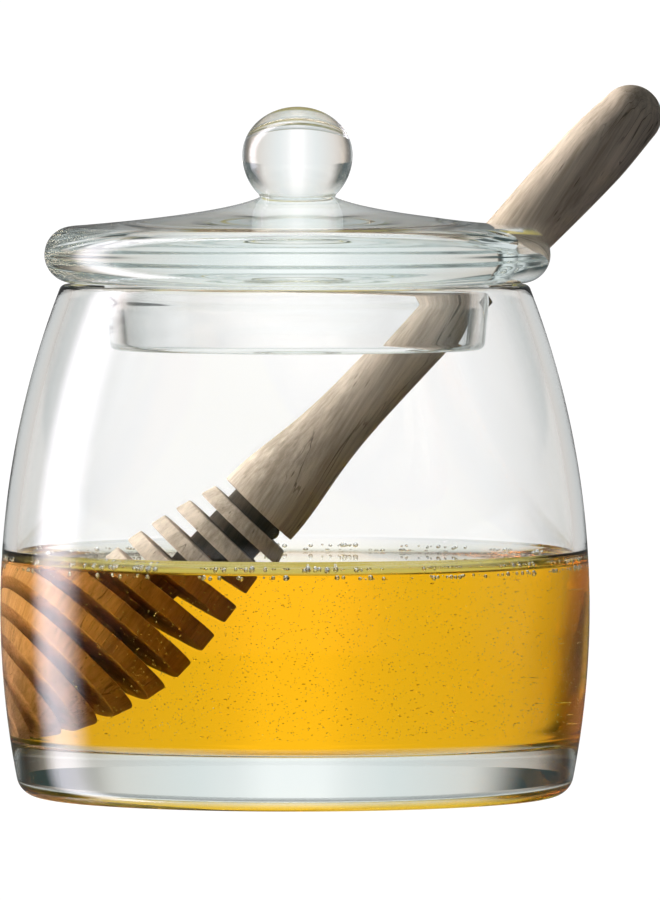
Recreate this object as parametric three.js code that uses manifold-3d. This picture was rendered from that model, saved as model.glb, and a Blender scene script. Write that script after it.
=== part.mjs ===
// Honey pot with dipper: a barrel-shaped glass jar with a thick base, its loose glass lid with a ball knob,
// honey in the lower third, and a turned oak dipper that leans out through a notch in the lid.
// Millimetres, +Z up. The origin is the middle of the flat underside that the jar stands on.
import * as THREE from "three";
import { mergeVertices } from "three/addons/utils/BufferGeometryUtils.js";
import Module from "manifold-3d";

const ROUND_STEPS = 40; // facets round the jar, lid and honey
const DIPPER_STEPS = 20; // facets round the dipper
const GAP = 0.3; // clearance between pieces that touch

// Jar: one circular arc bulges the wall, which keeps its thickness up to a rounded rim.
const JAR_HEIGHT = 92.8;
const BELLY_RADIUS = 53.5;
const BELLY_Z = 34;
const WALL_ARC = 161;
const WALL = 2.5;
const BASE_THICKNESS = 10.25;
const BASE_CORNER = 4;
const FLOOR_CORNER = 1.5;

// Honey: flat on top, with an edge that climbs the glass.
const HONEY_LEVEL = 42;
const EDGE_RISE = 2.7;
const EDGE_REACH = 4;

// Lid: a thick plate with a half-round edge, a cone up to the neck, a ball knob and a hanging skirt.
const LID_SHIFT_X = 0.45; // it sits a little to one side of the jar
const LID_RADIUS = 45.9;
const LID_UNDERSIDE_Z = JAR_HEIGHT + GAP;
const LID_EDGE = 5.1; // radius of the half-round edge
const CONE_BEND = new THREE.Vector2(13.5, 105.6); // where the straight cone turns up into the neck
const NECK_RADIUS = 6.8;
const NECK_Z = 108.6;
const NECK_WAIST = 7; // radius where the ball meets the neck
const KNOB_RADIUS = 10;
const KNOB_Z = 116.25;
const KNOB_TOP_Z = 125;
const SKIRT_RADIUS = 35; // outside, where it leaves the plate
const SKIRT_END_RADIUS = 34.1;
const SKIRT_END_Z = 80.8;
const SKIRT_WALL = 3;
const CEILING_Z = 96.3;
const CEILING_CORNER = 4;

// Notch: a slot with a round inner end, cut through the plate and the skirt for the dipper's handle.
const NOTCH_WIDTH = 17.5;
const NOTCH_END_CENTRE = 33; // from the lid's axis to the middle of the round end
const NOTCH_ANGLE = THREE.MathUtils.degToRad(11); // from +X towards the back

// Dipper: lengths run from the handle's flared foot, upwards along the handle and downwards along the head.
const FOOT = new THREE.Vector3(-6.7, 6.6, 51.6);
const LEAN = THREE.MathUtils.degToRad(46.6); // of the axis above the horizontal
const LEAN_BACK = THREE.MathUtils.degToRad(1); // of the axis behind +X, seen from above
const FOOT_RADIUS = 8.1;
const FLARE_LENGTH = 15;
const WAIST_RADIUS = 5.36;
const GRIP_RADIUS = 6.3;
const GRIP_START = 52;
const GRIP_FULL = 88;
const TIP_START = 88;
const TIP_RADIUS = 5.4;
const HANDLE_LENGTH = 104;
const DISC_COUNT = 10;
const DISC_PITCH = 5.1;
const DISC_THICKNESS = 2.84;
const FIRST_DISC = 3.69; // from the foot to the middle of the first disc
const ROOT_SPREAD = 0.55; // how much thicker each side of the last disc is at the core
const CORE_RADIUS = 5.5;
const HEAD_RADIUS = 14.5;
const HEAD_MIDDLE = 26.5; // from the foot to the widest part of the head
const HEAD_TOP_RADIUS = 9.1; // at the first disc
const HEAD_END_RADIUS = 6.4; // at the last disc
const TOP_BULGE = 1.35; // exponents of the head's outline above and below its widest part
const END_BULGE = 1.9;
const END_DOME = 0.7;

const wasm = await Module();
wasm.setup();

// Points of an arc in the (radius, height) plane of a turned piece.
function arc(radius, height, size, from, to, steps) {
  return Array.from({ length: steps + 1 }, (_, i) => {
    const angle = THREE.MathUtils.lerp(from, to, i / steps);
    return new THREE.Vector2(radius + size * Math.cos(angle), height + size * Math.sin(angle));
  });
}

// A closed body turned round Z from stretches of profile that start and end on the axis, bottom first.
function turned(stretches, steps) {
  const points = stretches.flat();
  const apart = points.filter((p, i) => i === 0 || p.distanceTo(points[i - 1]) > 0.01);
  return new THREE.LatheGeometry(apart, steps).rotateX(Math.PI / 2);
}

function solidOf(geometry) {
  const bare = geometry.clone().deleteAttribute("normal").deleteAttribute("uv");
  const merged = mergeVertices(bare, 1e-3);
  return new wasm.Manifold(
    new wasm.Mesh({
      numProp: 3,
      vertProperties: merged.attributes.position.array,
      triVerts: new Uint32Array(merged.index.array),
    }),
  );
}

function cutAway(geometry, tool) {
  const mesh = solidOf(geometry).subtract(solidOf(tool)).getMesh();
  const cut = new THREE.BufferGeometry();
  cut.setAttribute("position", new THREE.BufferAttribute(mesh.vertProperties, 3));
  cut.setIndex(new THREE.BufferAttribute(mesh.triVerts, 1));
  return cut;
}

// The wall's arcs share one centre: inset 0 is the outside of the jar, inset WALL its inside.
const WALL_CENTRE_RADIUS = BELLY_RADIUS - WALL_ARC;
const RIM_RADIUS = WALL / 2;
const RIM_ANGLE = Math.asin((JAR_HEIGHT - RIM_RADIUS - BELLY_Z) / (WALL_ARC - RIM_RADIUS));

function wallArc(inset, from, to, steps) {
  return arc(WALL_CENTRE_RADIUS, BELLY_Z, WALL_ARC - inset, from, to, steps);
}

function wallAngleAt(inset, z) {
  return Math.asin((z - BELLY_Z) / (WALL_ARC - inset));
}

// The round corner between a flat at height z and the wall arc at this inset.
function corner(inset, z, size) {
  const reach = WALL_ARC - inset - size;
  const angle = Math.asin((z + size - BELLY_Z) / reach);
  const radius = WALL_CENTRE_RADIUS + reach * Math.cos(angle);
  return { angle, points: (steps) => arc(radius, z + size, size, -Math.PI / 2, angle, steps) };
}

function jarGeometry() {
  const outside = corner(0, 0, BASE_CORNER);
  const inside = corner(WALL, BASE_THICKNESS, FLOOR_CORNER);
  const middle = wallArc(RIM_RADIUS, RIM_ANGLE, RIM_ANGLE, 1)[0];
  return turned(
    [
      [new THREE.Vector2(0, 0)],
      outside.points(3),
      wallArc(0, outside.angle, RIM_ANGLE, 9),
      arc(middle.x, middle.y, RIM_RADIUS, RIM_ANGLE, RIM_ANGLE + Math.PI, 5),
      wallArc(WALL, RIM_ANGLE, inside.angle, 8),
      inside.points(2).reverse(),
      [new THREE.Vector2(0, BASE_THICKNESS)],
    ],
    ROUND_STEPS,
  );
}

function honeyGeometry(dipperRoom) {
  const inset = WALL + GAP;
  const floor = BASE_THICKNESS + GAP;
  const inside = corner(inset, floor, FLOOR_CORNER);
  const edge = wallArc(inset, wallAngleAt(inset, HONEY_LEVEL + EDGE_RISE), 0, 1)[0];
  const climb = new THREE.QuadraticBezierCurve(
    edge,
    new THREE.Vector2(edge.x - EDGE_RISE / 2, HONEY_LEVEL),
    new THREE.Vector2(edge.x - EDGE_REACH, HONEY_LEVEL),
  );
  const body = turned(
    [
      [new THREE.Vector2(0, floor)],
      inside.points(2),
      wallArc(inset, inside.angle, wallAngleAt(inset, HONEY_LEVEL + EDGE_RISE), 4),
      climb.getPoints(3),
      [new THREE.Vector2(0, HONEY_LEVEL)],
    ],
    ROUND_STEPS,
  );
  return cutAway(body, dipperRoom);
}

function lidGeometry() {
  const edgeRadius = LID_RADIUS - LID_EDGE;
  const edgeZ = LID_UNDERSIDE_Z + LID_EDGE;
  const skirtInside = SKIRT_END_RADIUS - SKIRT_WALL;
  const ceilingEdge = SKIRT_RADIUS - SKIRT_WALL - CEILING_CORNER;
  const cone = new THREE.QuadraticBezierCurve(
    new THREE.Vector2(edgeRadius, edgeZ + LID_EDGE),
    CONE_BEND,
    new THREE.Vector2(NECK_RADIUS, NECK_Z),
  );
  const knobFoot = -Math.acos(NECK_WAIST / KNOB_RADIUS);
  const skirtLip = SKIRT_WALL / 2;
  const body = turned(
    [
      [new THREE.Vector2(0, CEILING_Z)],
      arc(ceilingEdge, CEILING_Z - CEILING_CORNER, CEILING_CORNER, Math.PI / 2, 0, 2),
      arc(skirtInside + skirtLip, SKIRT_END_Z + skirtLip, skirtLip, Math.PI, 2 * Math.PI, 4),
      [new THREE.Vector2(SKIRT_RADIUS, LID_UNDERSIDE_Z)],
      arc(edgeRadius, edgeZ, LID_EDGE, -Math.PI / 2, Math.PI / 2, 8),
      cone.getPoints(6),
      knobPoints(knobFoot, 9),
    ],
    ROUND_STEPS,
  );
  return cutAway(body, notchTool());
}

// A ball whose upper half is pressed down a little to the knob's real height.
function knobPoints(foot, steps) {
  return arc(0, 0, KNOB_RADIUS, foot, Math.PI / 2, steps).map((p) => {
    const press = p.y > 0 ? (KNOB_TOP_Z - KNOB_Z) / KNOB_RADIUS : 1;
    return new THREE.Vector2(p.x, KNOB_Z + p.y * press);
  });
}

function notchTool() {
  const half = NOTCH_WIDTH / 2;
  const outline = new THREE.Shape()
    .moveTo(LID_RADIUS + half, -half)
    .lineTo(LID_RADIUS + half, half)
    .lineTo(NOTCH_END_CENTRE, half)
    .absarc(NOTCH_END_CENTRE, 0, half, Math.PI / 2, 1.5 * Math.PI, false);
  const height = KNOB_TOP_Z - SKIRT_END_Z;
  return new THREE.ExtrudeGeometry(outline, { depth: height, bevelEnabled: false, curveSegments: 10 })
    .translate(0, 0, SKIRT_END_Z - GAP)
    .rotateZ(NOTCH_ANGLE);
}

// Radius of the egg that the head's discs are turned from, at a depth below the foot.
function headRadius(depth) {
  const first = FIRST_DISC;
  const last = FIRST_DISC + (DISC_COUNT - 1) * DISC_PITCH;
  const above = depth < HEAD_MIDDLE;
  const share = Math.abs((depth - HEAD_MIDDLE) / ((above ? first : last) - HEAD_MIDDLE));
  const drop = HEAD_RADIUS - (above ? HEAD_TOP_RADIUS : HEAD_END_RADIUS);
  return HEAD_RADIUS - drop * share ** (above ? TOP_BULGE : END_BULGE);
}

// Radius of the handle at a height above the foot, up to where its round tip starts.
function handleRadius(height) {
  const flare = (FOOT_RADIUS - WAIST_RADIUS) * Math.exp(-((height / FLARE_LENGTH) ** 2));
  const grip = (GRIP_RADIUS - WAIST_RADIUS) * THREE.MathUtils.smoothstep(height, GRIP_START, GRIP_FULL);
  const tip = (GRIP_RADIUS - TIP_RADIUS) * THREE.MathUtils.smoothstep(height, TIP_START, HANDLE_LENGTH);
  return WAIST_RADIUS + flare + grip - tip;
}

// The four corners of one disc, lower face first, grown all round by some room.
function discCorners(index, room) {
  const depth = FIRST_DISC + index * DISC_PITCH;
  const half = DISC_THICKNESS / 2;
  const root = half + (ROOT_SPREAD * index) / (DISC_COUNT - 1);
  return [
    [CORE_RADIUS + room, -depth - root - room],
    [headRadius(depth + half + room) + room, -depth - half - room],
    [headRadius(depth - half - room) + room, -depth + half + room],
    [CORE_RADIUS + room, -depth + root + room],
  ];
}

// The dipper turned round its own axis, Z from the foot, grown all round by some room.
function dipperGeometry(room) {
  const discs = Array.from({ length: DISC_COUNT }, (_, i) => discCorners(DISC_COUNT - 1 - i, room));
  const end = discs[0][1];
  discs[0][0] = [0, end[1] - END_DOME];
  const neck = [
    [CORE_RADIUS + room, -room],
    [FOOT_RADIUS + room, -room],
  ];
  const tipCentre = HANDLE_LENGTH - TIP_RADIUS;
  const handle = Array.from({ length: 13 }, (_, i) => {
    const height = (tipCentre * i) / 12;
    return [handleRadius(height) + room, height];
  });
  const profile = [...discs.flat(), ...neck, ...handle].map(([r, z]) => new THREE.Vector2(r, z));
  const tipSize = handleRadius(tipCentre) + room;
  return turned([profile, arc(0, tipCentre, tipSize, 0, Math.PI / 2, 4)], DIPPER_STEPS);
}

function piece(name, geometry, look) {
  const mesh = new THREE.Mesh(geometry, new THREE.MeshStandardMaterial(look));
  mesh.name = name;
  return mesh;
}

const CLEAR_GLASS = { color: 0xe6efec, roughness: 0.02, metalness: 0, transparent: true, opacity: 0.25 };
const HONEY = { color: 0xf4b41c, roughness: 0.05, metalness: 0 };
const OAK = { color: 0x8f7a68, roughness: 0.65, metalness: 0 };

const pot = new THREE.Group();
pot.add(piece("glass_jar", jarGeometry(), CLEAR_GLASS));

const lid = piece("glass_lid", lidGeometry(), CLEAR_GLASS);
lid.position.x = LID_SHIFT_X;
pot.add(lid);

const dipper = piece("oak_dipper", dipperGeometry(0), OAK);
dipper.position.copy(FOOT);
dipper.rotation.set(0, Math.PI / 2 - LEAN, LEAN_BACK, "ZYX");
dipper.updateMatrix();
pot.add(dipper);

const dipperRoom = dipperGeometry(GAP).applyMatrix4(dipper.matrix);
pot.add(piece("honey", honeyGeometry(dipperRoom), HONEY));

export default pot;
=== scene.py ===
# %% [markdown]
# # A honey pot with its dipper
# The pot is four things: a barrel-shaped glass jar with a thick base, a loose glass lid with a ball knob,
# a third of a jar of honey, and a turned oak dipper that leans out through a slot in the lid. The packed
# CAD model is the frame: it says how big each thing is and where it stands. This lesson gives each of
# them its real surface.

# %% Load the frame
import math

import bmesh
import bpy
import numpy as np
from mathutils import Euler, Matrix, Vector


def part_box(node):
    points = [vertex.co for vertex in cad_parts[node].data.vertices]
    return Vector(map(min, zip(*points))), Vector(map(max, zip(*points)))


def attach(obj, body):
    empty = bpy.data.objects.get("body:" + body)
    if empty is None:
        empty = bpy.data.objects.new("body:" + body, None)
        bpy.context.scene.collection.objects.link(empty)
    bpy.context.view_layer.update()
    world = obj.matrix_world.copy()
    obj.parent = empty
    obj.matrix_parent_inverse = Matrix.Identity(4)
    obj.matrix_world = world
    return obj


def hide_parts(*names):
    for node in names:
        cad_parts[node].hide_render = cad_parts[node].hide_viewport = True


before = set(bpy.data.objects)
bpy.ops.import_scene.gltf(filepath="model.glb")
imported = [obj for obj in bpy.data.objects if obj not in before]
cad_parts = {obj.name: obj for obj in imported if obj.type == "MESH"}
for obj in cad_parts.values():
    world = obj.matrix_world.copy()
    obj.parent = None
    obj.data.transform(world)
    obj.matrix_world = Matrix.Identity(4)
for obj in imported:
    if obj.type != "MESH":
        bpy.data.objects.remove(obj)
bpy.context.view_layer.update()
MM = 0.001
for part_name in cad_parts:
    low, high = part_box(part_name)
    print(part_name, "spans", [round(side / MM, 1) for side in Vector(high) - Vector(low)], "mm")

# %% [markdown]
# ## Turning on a lathe
# Every piece here is round, so every piece starts as an outline: a list of (radius, height) points from
# the axis, up the outside, and back to the axis. A lathe copies that outline round the axis and joins the
# copies with faces. Blender has a Screw modifier for this, but writing the rings ourselves keeps the
# poles closed and the faces pointing outwards. Sizes are in millimetres and turn to metres only when the
# mesh is made.

# %% Outlines
def arc(radius, height, size, start, end, steps):
    """Points of a round stretch of outline; start and end are degrees, 0 outwards and 90 upwards."""
    turns = [math.radians(start + (end - start) * i / steps) for i in range(steps + 1)]
    return [(radius + size * math.cos(t), height + size * math.sin(t)) for t in turns]


def bend(start, pull, end, steps):
    """Points of a curve that leaves start and reaches end, pulled towards a third point."""
    shares = [i / steps for i in range(steps + 1)]
    return [
        tuple((1 - t) ** 2 * a + 2 * t * (1 - t) * b + t**2 * c for a, b, c in zip(start, pull, end))
        for t in shares
    ]


half_circle = arc(0, 0, 1, -90, 90, 8)
print("a half circle in 8 steps has", len(half_circle), "points, so it is closed at both ends")

# %% [markdown]
# The lathe itself first drops points that repeat, because they would give faces as thin as a line. Then
# it makes one ring of points for each point of the outline, a single point at each pole, and the faces
# between them. Edges that turn less than 30 degrees are shaded as one smooth surface.

# %% The lathe
ROUND_STEPS = 224
SMALLEST_STEP = 0.004
SMOOTH_BELOW = 30


def turned(name, outline, steps=ROUND_STEPS):
    """A closed mesh object turned round Z from an outline that starts and ends on the axis."""
    kept = [outline[0]]
    for point in outline[1:]:
        if math.dist(point, kept[-1]) > SMALLEST_STEP:
            kept.append(point)
    points = [(0, 0, kept[0][1])]
    for radius, height in kept[1:-1]:
        for step in range(steps):
            turn = 2 * math.pi * step / steps
            points.append((radius * math.cos(turn), radius * math.sin(turn), height))
    points.append((0, 0, kept[-1][1]))
    faces = [(0, 1 + (s + 1) % steps, 1 + s) for s in range(steps)]
    for ring in range(len(kept) - 3):
        low = 1 + ring * steps
        for s in range(steps):
            n = (s + 1) % steps
            faces.append((low + s, low + n, low + steps + n, low + steps + s))
    low, top = 1 + (len(kept) - 3) * steps, len(points) - 1
    faces += [(low + s, low + (s + 1) % steps, top) for s in range(steps)]
    mesh = bpy.data.meshes.new(name)
    mesh.from_pydata([(x * MM, y * MM, z * MM) for x, y, z in points], [], faces)
    mesh.shade_smooth()
    mesh.set_sharp_from_angle(angle=math.radians(SMOOTH_BELOW))
    piece = bpy.data.objects.new(name, mesh)
    bpy.context.scene.collection.objects.link(piece)
    print(name, "turned from", len(kept), "points:", len(mesh.polygons), "faces")
    return piece


# %% [markdown]
# ## Colours and nodes
# Colours are given as sRGB hex values, but light adds up in linear values, so one function
# converts them. A second small helper adds any shader or geometry node, sets its values and joins its
# links. A link is given as the socket that feeds an input, or as a node, which then feeds it with its
# first output.

# %% Helpers for colours and nodes
def linear(hex_colour):
    """Linear RGBA of an sRGB hex colour."""
    parts = [int(hex_colour[i : i + 2], 16) / 255 for i in (1, 3, 5)]
    return [p / 12.92 if p <= 0.04045 else ((p + 0.055) / 1.055) ** 2.4 for p in parts] + [1.0]


def add(tree, kind, inputs=None, **settings):
    """Adds a node, sets its properties and fills its inputs with values or links."""
    made = tree.nodes.new(kind)
    for key, value in settings.items():
        setattr(made, key, value)
    for key, value in (inputs or {}).items():
        if isinstance(value, bpy.types.Node):
            value = next(socket for socket in value.outputs if socket.enabled)
        if isinstance(value, bpy.types.NodeSocket):
            tree.links.new(value, made.inputs[key])
        else:
            made.inputs[key].default_value = value
    return made


def material(name):
    """An empty node material and its tree."""
    made = bpy.data.materials.new(name)
    made.use_nodes = True
    made.node_tree.nodes.clear()
    return made, made.node_tree


print("screen grey #808080 is", round(linear("#808080")[0], 3), "of white in linear light")

# %% [markdown]
# ## Where honey wets a surface
# Glass and honey bend light almost alike, so the surface between them hardly mirrors anything. Two meshes
# that overlap would each mirror as if they stood in air. So each face carries a mark, 1 where honey and
# glass touch, and the materials turn their mirror off there by the Specular Tint. A plain face attribute
# is enough for that.

# %% Wet marks
def mark_wet(piece, is_wet):
    """Marks every face for which is_wet(centre, normal) holds."""
    marks = [float(is_wet(face.center / MM, face.normal)) for face in piece.data.polygons]
    piece.data.attributes.new("wet", "FLOAT", "FACE").data.foreach_set("value", marks)
    print(piece.name, "has", int(sum(marks)), "of", len(marks), "faces where honey meets glass")


def dry_share(tree):
    """1 on a dry surface and 0 where honey meets glass; a mesh without the mark is dry."""
    mark = add(tree, "ShaderNodeAttribute", attribute_name="wet")
    return add(tree, "ShaderNodeMath", {0: 1.0, 1: mark.outputs["Fac"]}, operation="SUBTRACT")


# %% [markdown]
# ## Clear glass
# The jar and lid are clear soda-lime glass, blown or pressed and then polished by the flame. To the eye
# it is nearly colourless: it is seen by what it bends and mirrors. Its index of refraction is 1.52, and a
# long way through it turns light faintly green-blue, which Volume Absorption gives by the length of the
# path. Flame polish leaves very faint waves, so a soft noise a few centimetres wide bumps the surface a
# little.

# %% Glass material
GLASS_IOR = 1.52
GLASS_TINT, GLASS_TINT_DENSITY = "#C9E3DF", 3.5
WAVE_WIDTH, WAVE_HEIGHT = 24, 0.06


def clear_glass():
    made, tree = material("Soda-lime glass")
    place = add(tree, "ShaderNodeTexCoord")
    waves = add(tree, "ShaderNodeTexNoise", {"Vector": place.outputs["Object"], "Scale": 1 / (WAVE_WIDTH * MM),
                                             "Detail": 1.0, "Roughness": 0.4})
    relief = add(tree, "ShaderNodeBump", {"Height": waves.outputs["Fac"], "Strength": 1.0,
                                          "Distance": WAVE_HEIGHT * MM})
    surface = add(tree, "ShaderNodeBsdfPrincipled", {
        "Base Color": linear("#FFFFFF"), "Roughness": 0.0, "IOR": GLASS_IOR, "Transmission Weight": 1.0,
        "Specular Tint": dry_share(tree), "Normal": relief})
    tint = add(tree, "ShaderNodeVolumeAbsorption", {"Color": linear(GLASS_TINT), "Density": GLASS_TINT_DENSITY})
    add(tree, "ShaderNodeOutputMaterial", {"Surface": surface, "Volume": tint})
    return made


glass = clear_glass()
print("glass: index", GLASS_IOR, "with waves about", WAVE_WIDTH, "mm wide")

# %% [markdown]
# ## The jar
# The jar's wall is one circular arc, 2.5 mm thick, that ends in a round fire-polished rim. The base is a
# solid slab. All arcs of the wall share one centre, so a point on the wall is an angle and an inset from
# the outside. A cylinder with a Solidify modifier would also give a wall, but the outline keeps the thick
# base in one piece.

# %% Jar wall
JAR_HEIGHT = 92.8
BELLY_RADIUS = 53.5
BELLY_Z = 34.0
WALL_ARC = 161.0
WALL_CENTRE = BELLY_RADIUS - WALL_ARC


def wall(inset, start, end, steps):
    return arc(WALL_CENTRE, BELLY_Z, WALL_ARC - inset, start, end, steps)


def wall_angle(inset, height):
    return math.degrees(math.asin((height - BELLY_Z) / (WALL_ARC - inset)))


def wall_corner(inset, height, size, steps):
    """The round corner between a flat at this height and the wall, and the wall angle where it ends."""
    reach = WALL_ARC - inset - size
    turn = math.degrees(math.asin((height + size - BELLY_Z) / reach))
    radius = WALL_CENTRE + reach * math.cos(math.radians(turn))
    return arc(radius, height + size, size, -90, turn, steps), turn


print("the wall is", round(2 * wall(0, wall_angle(0, JAR_HEIGHT), 0, 1)[0][0], 1), "mm wide at the rim and",
      2 * BELLY_RADIUS, "at the belly")

# %% [markdown]
# The outline starts under the base, goes up the outside, over the rim and down the inside. Afterwards the
# inner faces below the honey's edge get the wet mark.

# %% Jar
WALL = 2.5
BASE_THICKNESS = 10.25
BASE_CORNER = 4.0
FLOOR_CORNER = 1.5
RIM = WALL / 2
RIM_ANGLE = math.degrees(math.asin((JAR_HEIGHT - RIM - BELLY_Z) / (WALL_ARC - RIM)))
HONEY_LEVEL = 42.0
EDGE_RISE = 2.7


def glass_jar():
    foot, foot_end = wall_corner(0, 0, BASE_CORNER, 10)
    floor, floor_end = wall_corner(WALL, BASE_THICKNESS, FLOOR_CORNER, 8)
    rim_radius, rim_height = wall(RIM, RIM_ANGLE, RIM_ANGLE, 1)[0]
    outline = [(0, 0)] + foot + wall(0, foot_end, RIM_ANGLE, 48)
    outline += arc(rim_radius, rim_height, RIM, RIM_ANGLE, RIM_ANGLE + 180, 14)
    outline += wall(WALL, RIM_ANGLE, floor_end, 48) + floor[::-1] + [(0, BASE_THICKNESS)]
    return turned("jar_glass", outline)


def honey_touches_jar(at, way):
    inside = at.xy.dot(way.xy) <= 0
    return inside and BASE_THICKNESS - 0.1 < at.z < HONEY_LEVEL + EDGE_RISE


jar = glass_jar()
mark_wet(jar, honey_touches_jar)
jar.data.materials.append(glass)

# %% [markdown]
# ## The lid
# The lid is one piece of glass: a thick plate with a half-round edge, a cone that sweeps up to a neck, a
# ball for the fingers, and a skirt that hangs in the mouth. It is turned from one outline like the jar,
# so that light passes from ball to plate with no seam in between.

# %% Lid outline
LID_SHIFT_X = 0.45
LID_RADIUS = 45.9
LID_UNDERSIDE = JAR_HEIGHT + 0.3
LID_EDGE = 5.1
CONE_BEND = (13.5, 105.6)
NECK_RADIUS, NECK_Z, NECK_WAIST = 6.8, 108.6, 7.0
KNOB_RADIUS, KNOB_Z, KNOB_TOP = 10.0, 116.25, 125.0
SKIRT_RADIUS, SKIRT_END_RADIUS, SKIRT_END, SKIRT_WALL = 35.0, 34.1, 80.8, 3.0
SKIRT_ROOT = 0.8
CEILING, CEILING_CORNER, CEILING_FLAT = 96.3, 4.0, 12.0


def knob():
    """A ball whose upper half is pressed down a little."""
    foot_turn = -math.degrees(math.acos(NECK_WAIST / KNOB_RADIUS))
    press = (KNOB_TOP - KNOB_Z) / KNOB_RADIUS
    ball = arc(0, 0, KNOB_RADIUS, foot_turn, 90, 40)
    return [(radius, KNOB_Z + height * (press if height > 0 else 1)) for radius, height in ball]


def lid_outline():
    edge_radius, edge_z = LID_RADIUS - LID_EDGE, LID_UNDERSIDE + LID_EDGE
    lip = SKIRT_WALL / 2
    inside_radius = SKIRT_RADIUS - SKIRT_WALL - CEILING_CORNER
    outline = [(0, CEILING), (CEILING_FLAT, CEILING)]
    outline += arc(inside_radius, CEILING - CEILING_CORNER, CEILING_CORNER, 90, 0, 10)
    outline += arc(SKIRT_END_RADIUS - lip, SKIRT_END + lip, lip, 180, 360, 14)
    outline += arc(SKIRT_RADIUS + SKIRT_ROOT, LID_UNDERSIDE - SKIRT_ROOT, SKIRT_ROOT, 180, 90, 6)
    outline += arc(edge_radius, edge_z, LID_EDGE, -90, 90, 30)
    outline += bend((edge_radius, edge_z + LID_EDGE), CONE_BEND, (NECK_RADIUS, NECK_Z), 36)
    return outline + knob()


print("the lid's outline has", len(lid_outline()), "points")

# %% [markdown]
# A slot with a round end is cut through plate and skirt for the dipper's handle. A slot isn't round, so
# the lathe can't make it: a block of the slot's shape is taken away from the turned lid with a Boolean
# modifier. The result is then made a plain mesh, because later steps read its faces.

# %% Slot tool
NOTCH_WIDTH, NOTCH_END_CENTRE, NOTCH_ANGLE = 17.5, 33.0, 11.0


def notch_tool():
    """A tall block with a round inner end, as wide as the slot."""
    half = NOTCH_WIDTH / 2
    side = [(LID_RADIUS + half, -half), (LID_RADIUS + half, half)]
    side += arc(NOTCH_END_CENTRE, 0, half, 90, 270, 40)
    shape = bmesh.new()
    rim = [shape.verts.new((x * MM, y * MM, (SKIRT_END - 1) * MM)) for x, y in side]
    base = shape.faces.new(rim)
    raised = bmesh.ops.extrude_face_region(shape, geom=[base])["geom"]
    lifted = [v for v in raised if isinstance(v, bmesh.types.BMVert)]
    bmesh.ops.translate(shape, verts=lifted, vec=(0, 0, (KNOB_TOP - SKIRT_END) * MM))
    bmesh.ops.rotate(shape, verts=shape.verts, matrix=Matrix.Rotation(math.radians(NOTCH_ANGLE), 3, "Z"))
    bmesh.ops.recalc_face_normals(shape, faces=shape.faces)
    mesh = bpy.data.meshes.new("notch_tool")
    shape.to_mesh(mesh)
    shape.free()
    tool = bpy.data.objects.new("notch_tool", mesh)
    bpy.context.scene.collection.objects.link(tool)
    return tool


print("the slot is", NOTCH_WIDTH, "mm wide and turned", NOTCH_ANGLE, "degrees to the back")

# %% Lid
def settle(piece):
    """Turns a piece with modifiers into a plain mesh with none."""
    finished = bpy.data.meshes.new_from_object(piece.evaluated_get(bpy.context.evaluated_depsgraph_get()))
    piece.modifiers.clear()
    piece.data = finished


def glass_lid():
    piece = turned("lid_glass", lid_outline())
    tool = notch_tool()
    cut = piece.modifiers.new("slot", "BOOLEAN")
    cut.operation = "DIFFERENCE"
    cut.object = tool
    cut.solver = "EXACT"
    settle(piece)
    bpy.data.objects.remove(tool)
    piece.data.transform(Matrix.Translation((LID_SHIFT_X * MM, 0, 0)))
    piece.data.shade_smooth()
    piece.data.set_sharp_from_angle(angle=math.radians(SMOOTH_BELOW))
    piece.data.materials.clear()
    piece.data.materials.append(glass)
    return piece


lid = glass_lid()
print("lid:", len(lid.data.polygons), "faces after the slot is cut")

# %% [markdown]
# ## Honey
# Clear honey bends light almost as much as glass does, so it fills the jar like a lens. Its gold comes
# from depth: blue light is gone after a few millimetres and half the green after the width of the jar, so
# the colour is set by Volume Absorption and not on the surface. A slow swirl in its top gives the
# mirrored light a soft edge.

# %% Honey material
HONEY_IOR = 1.49
HONEY_GOLD, HONEY_DENSITY = "#FFEE0E", 46.5
SWIRL_WIDTH, SWIRL_HEIGHT = 18, 0.05


def clear_honey():
    made, tree = material("Clear honey")
    place = add(tree, "ShaderNodeTexCoord")
    swirl = add(tree, "ShaderNodeTexNoise", {"Vector": place.outputs["Object"], "Scale": 1 / (SWIRL_WIDTH * MM),
                                             "Detail": 2.0})
    relief = add(tree, "ShaderNodeBump", {"Height": swirl.outputs["Fac"], "Strength": 1.0,
                                          "Distance": SWIRL_HEIGHT * MM})
    surface = add(tree, "ShaderNodeBsdfPrincipled", {
        "Base Color": linear("#FFFFFF"), "Roughness": 0.0, "IOR": HONEY_IOR, "Transmission Weight": 1.0,
        "Specular Tint": dry_share(tree), "Normal": relief})
    gold = add(tree, "ShaderNodeVolumeAbsorption", {"Color": linear(HONEY_GOLD), "Density": HONEY_DENSITY})
    add(tree, "ShaderNodeOutputMaterial", {"Surface": surface, "Volume": gold})
    return made


honey_gold = clear_honey()
print("green left after 100 mm of honey:",
      round(math.exp(-HONEY_DENSITY * (1 - linear(HONEY_GOLD)[1]) * 0.1), 2))

# %% [markdown]
# The honey's mesh reaches a little into the glass, so no air shows between them, and its top edge climbs
# the wall as a thick liquid does. Only its flat top and that edge meet air, so all other faces get the
# wet mark.

# %% Honey
EDGE_REACH = 4.0
INTO_GLASS = 0.3
FLAT_RING = 20.0
FACES_UP = 0.3


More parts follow.
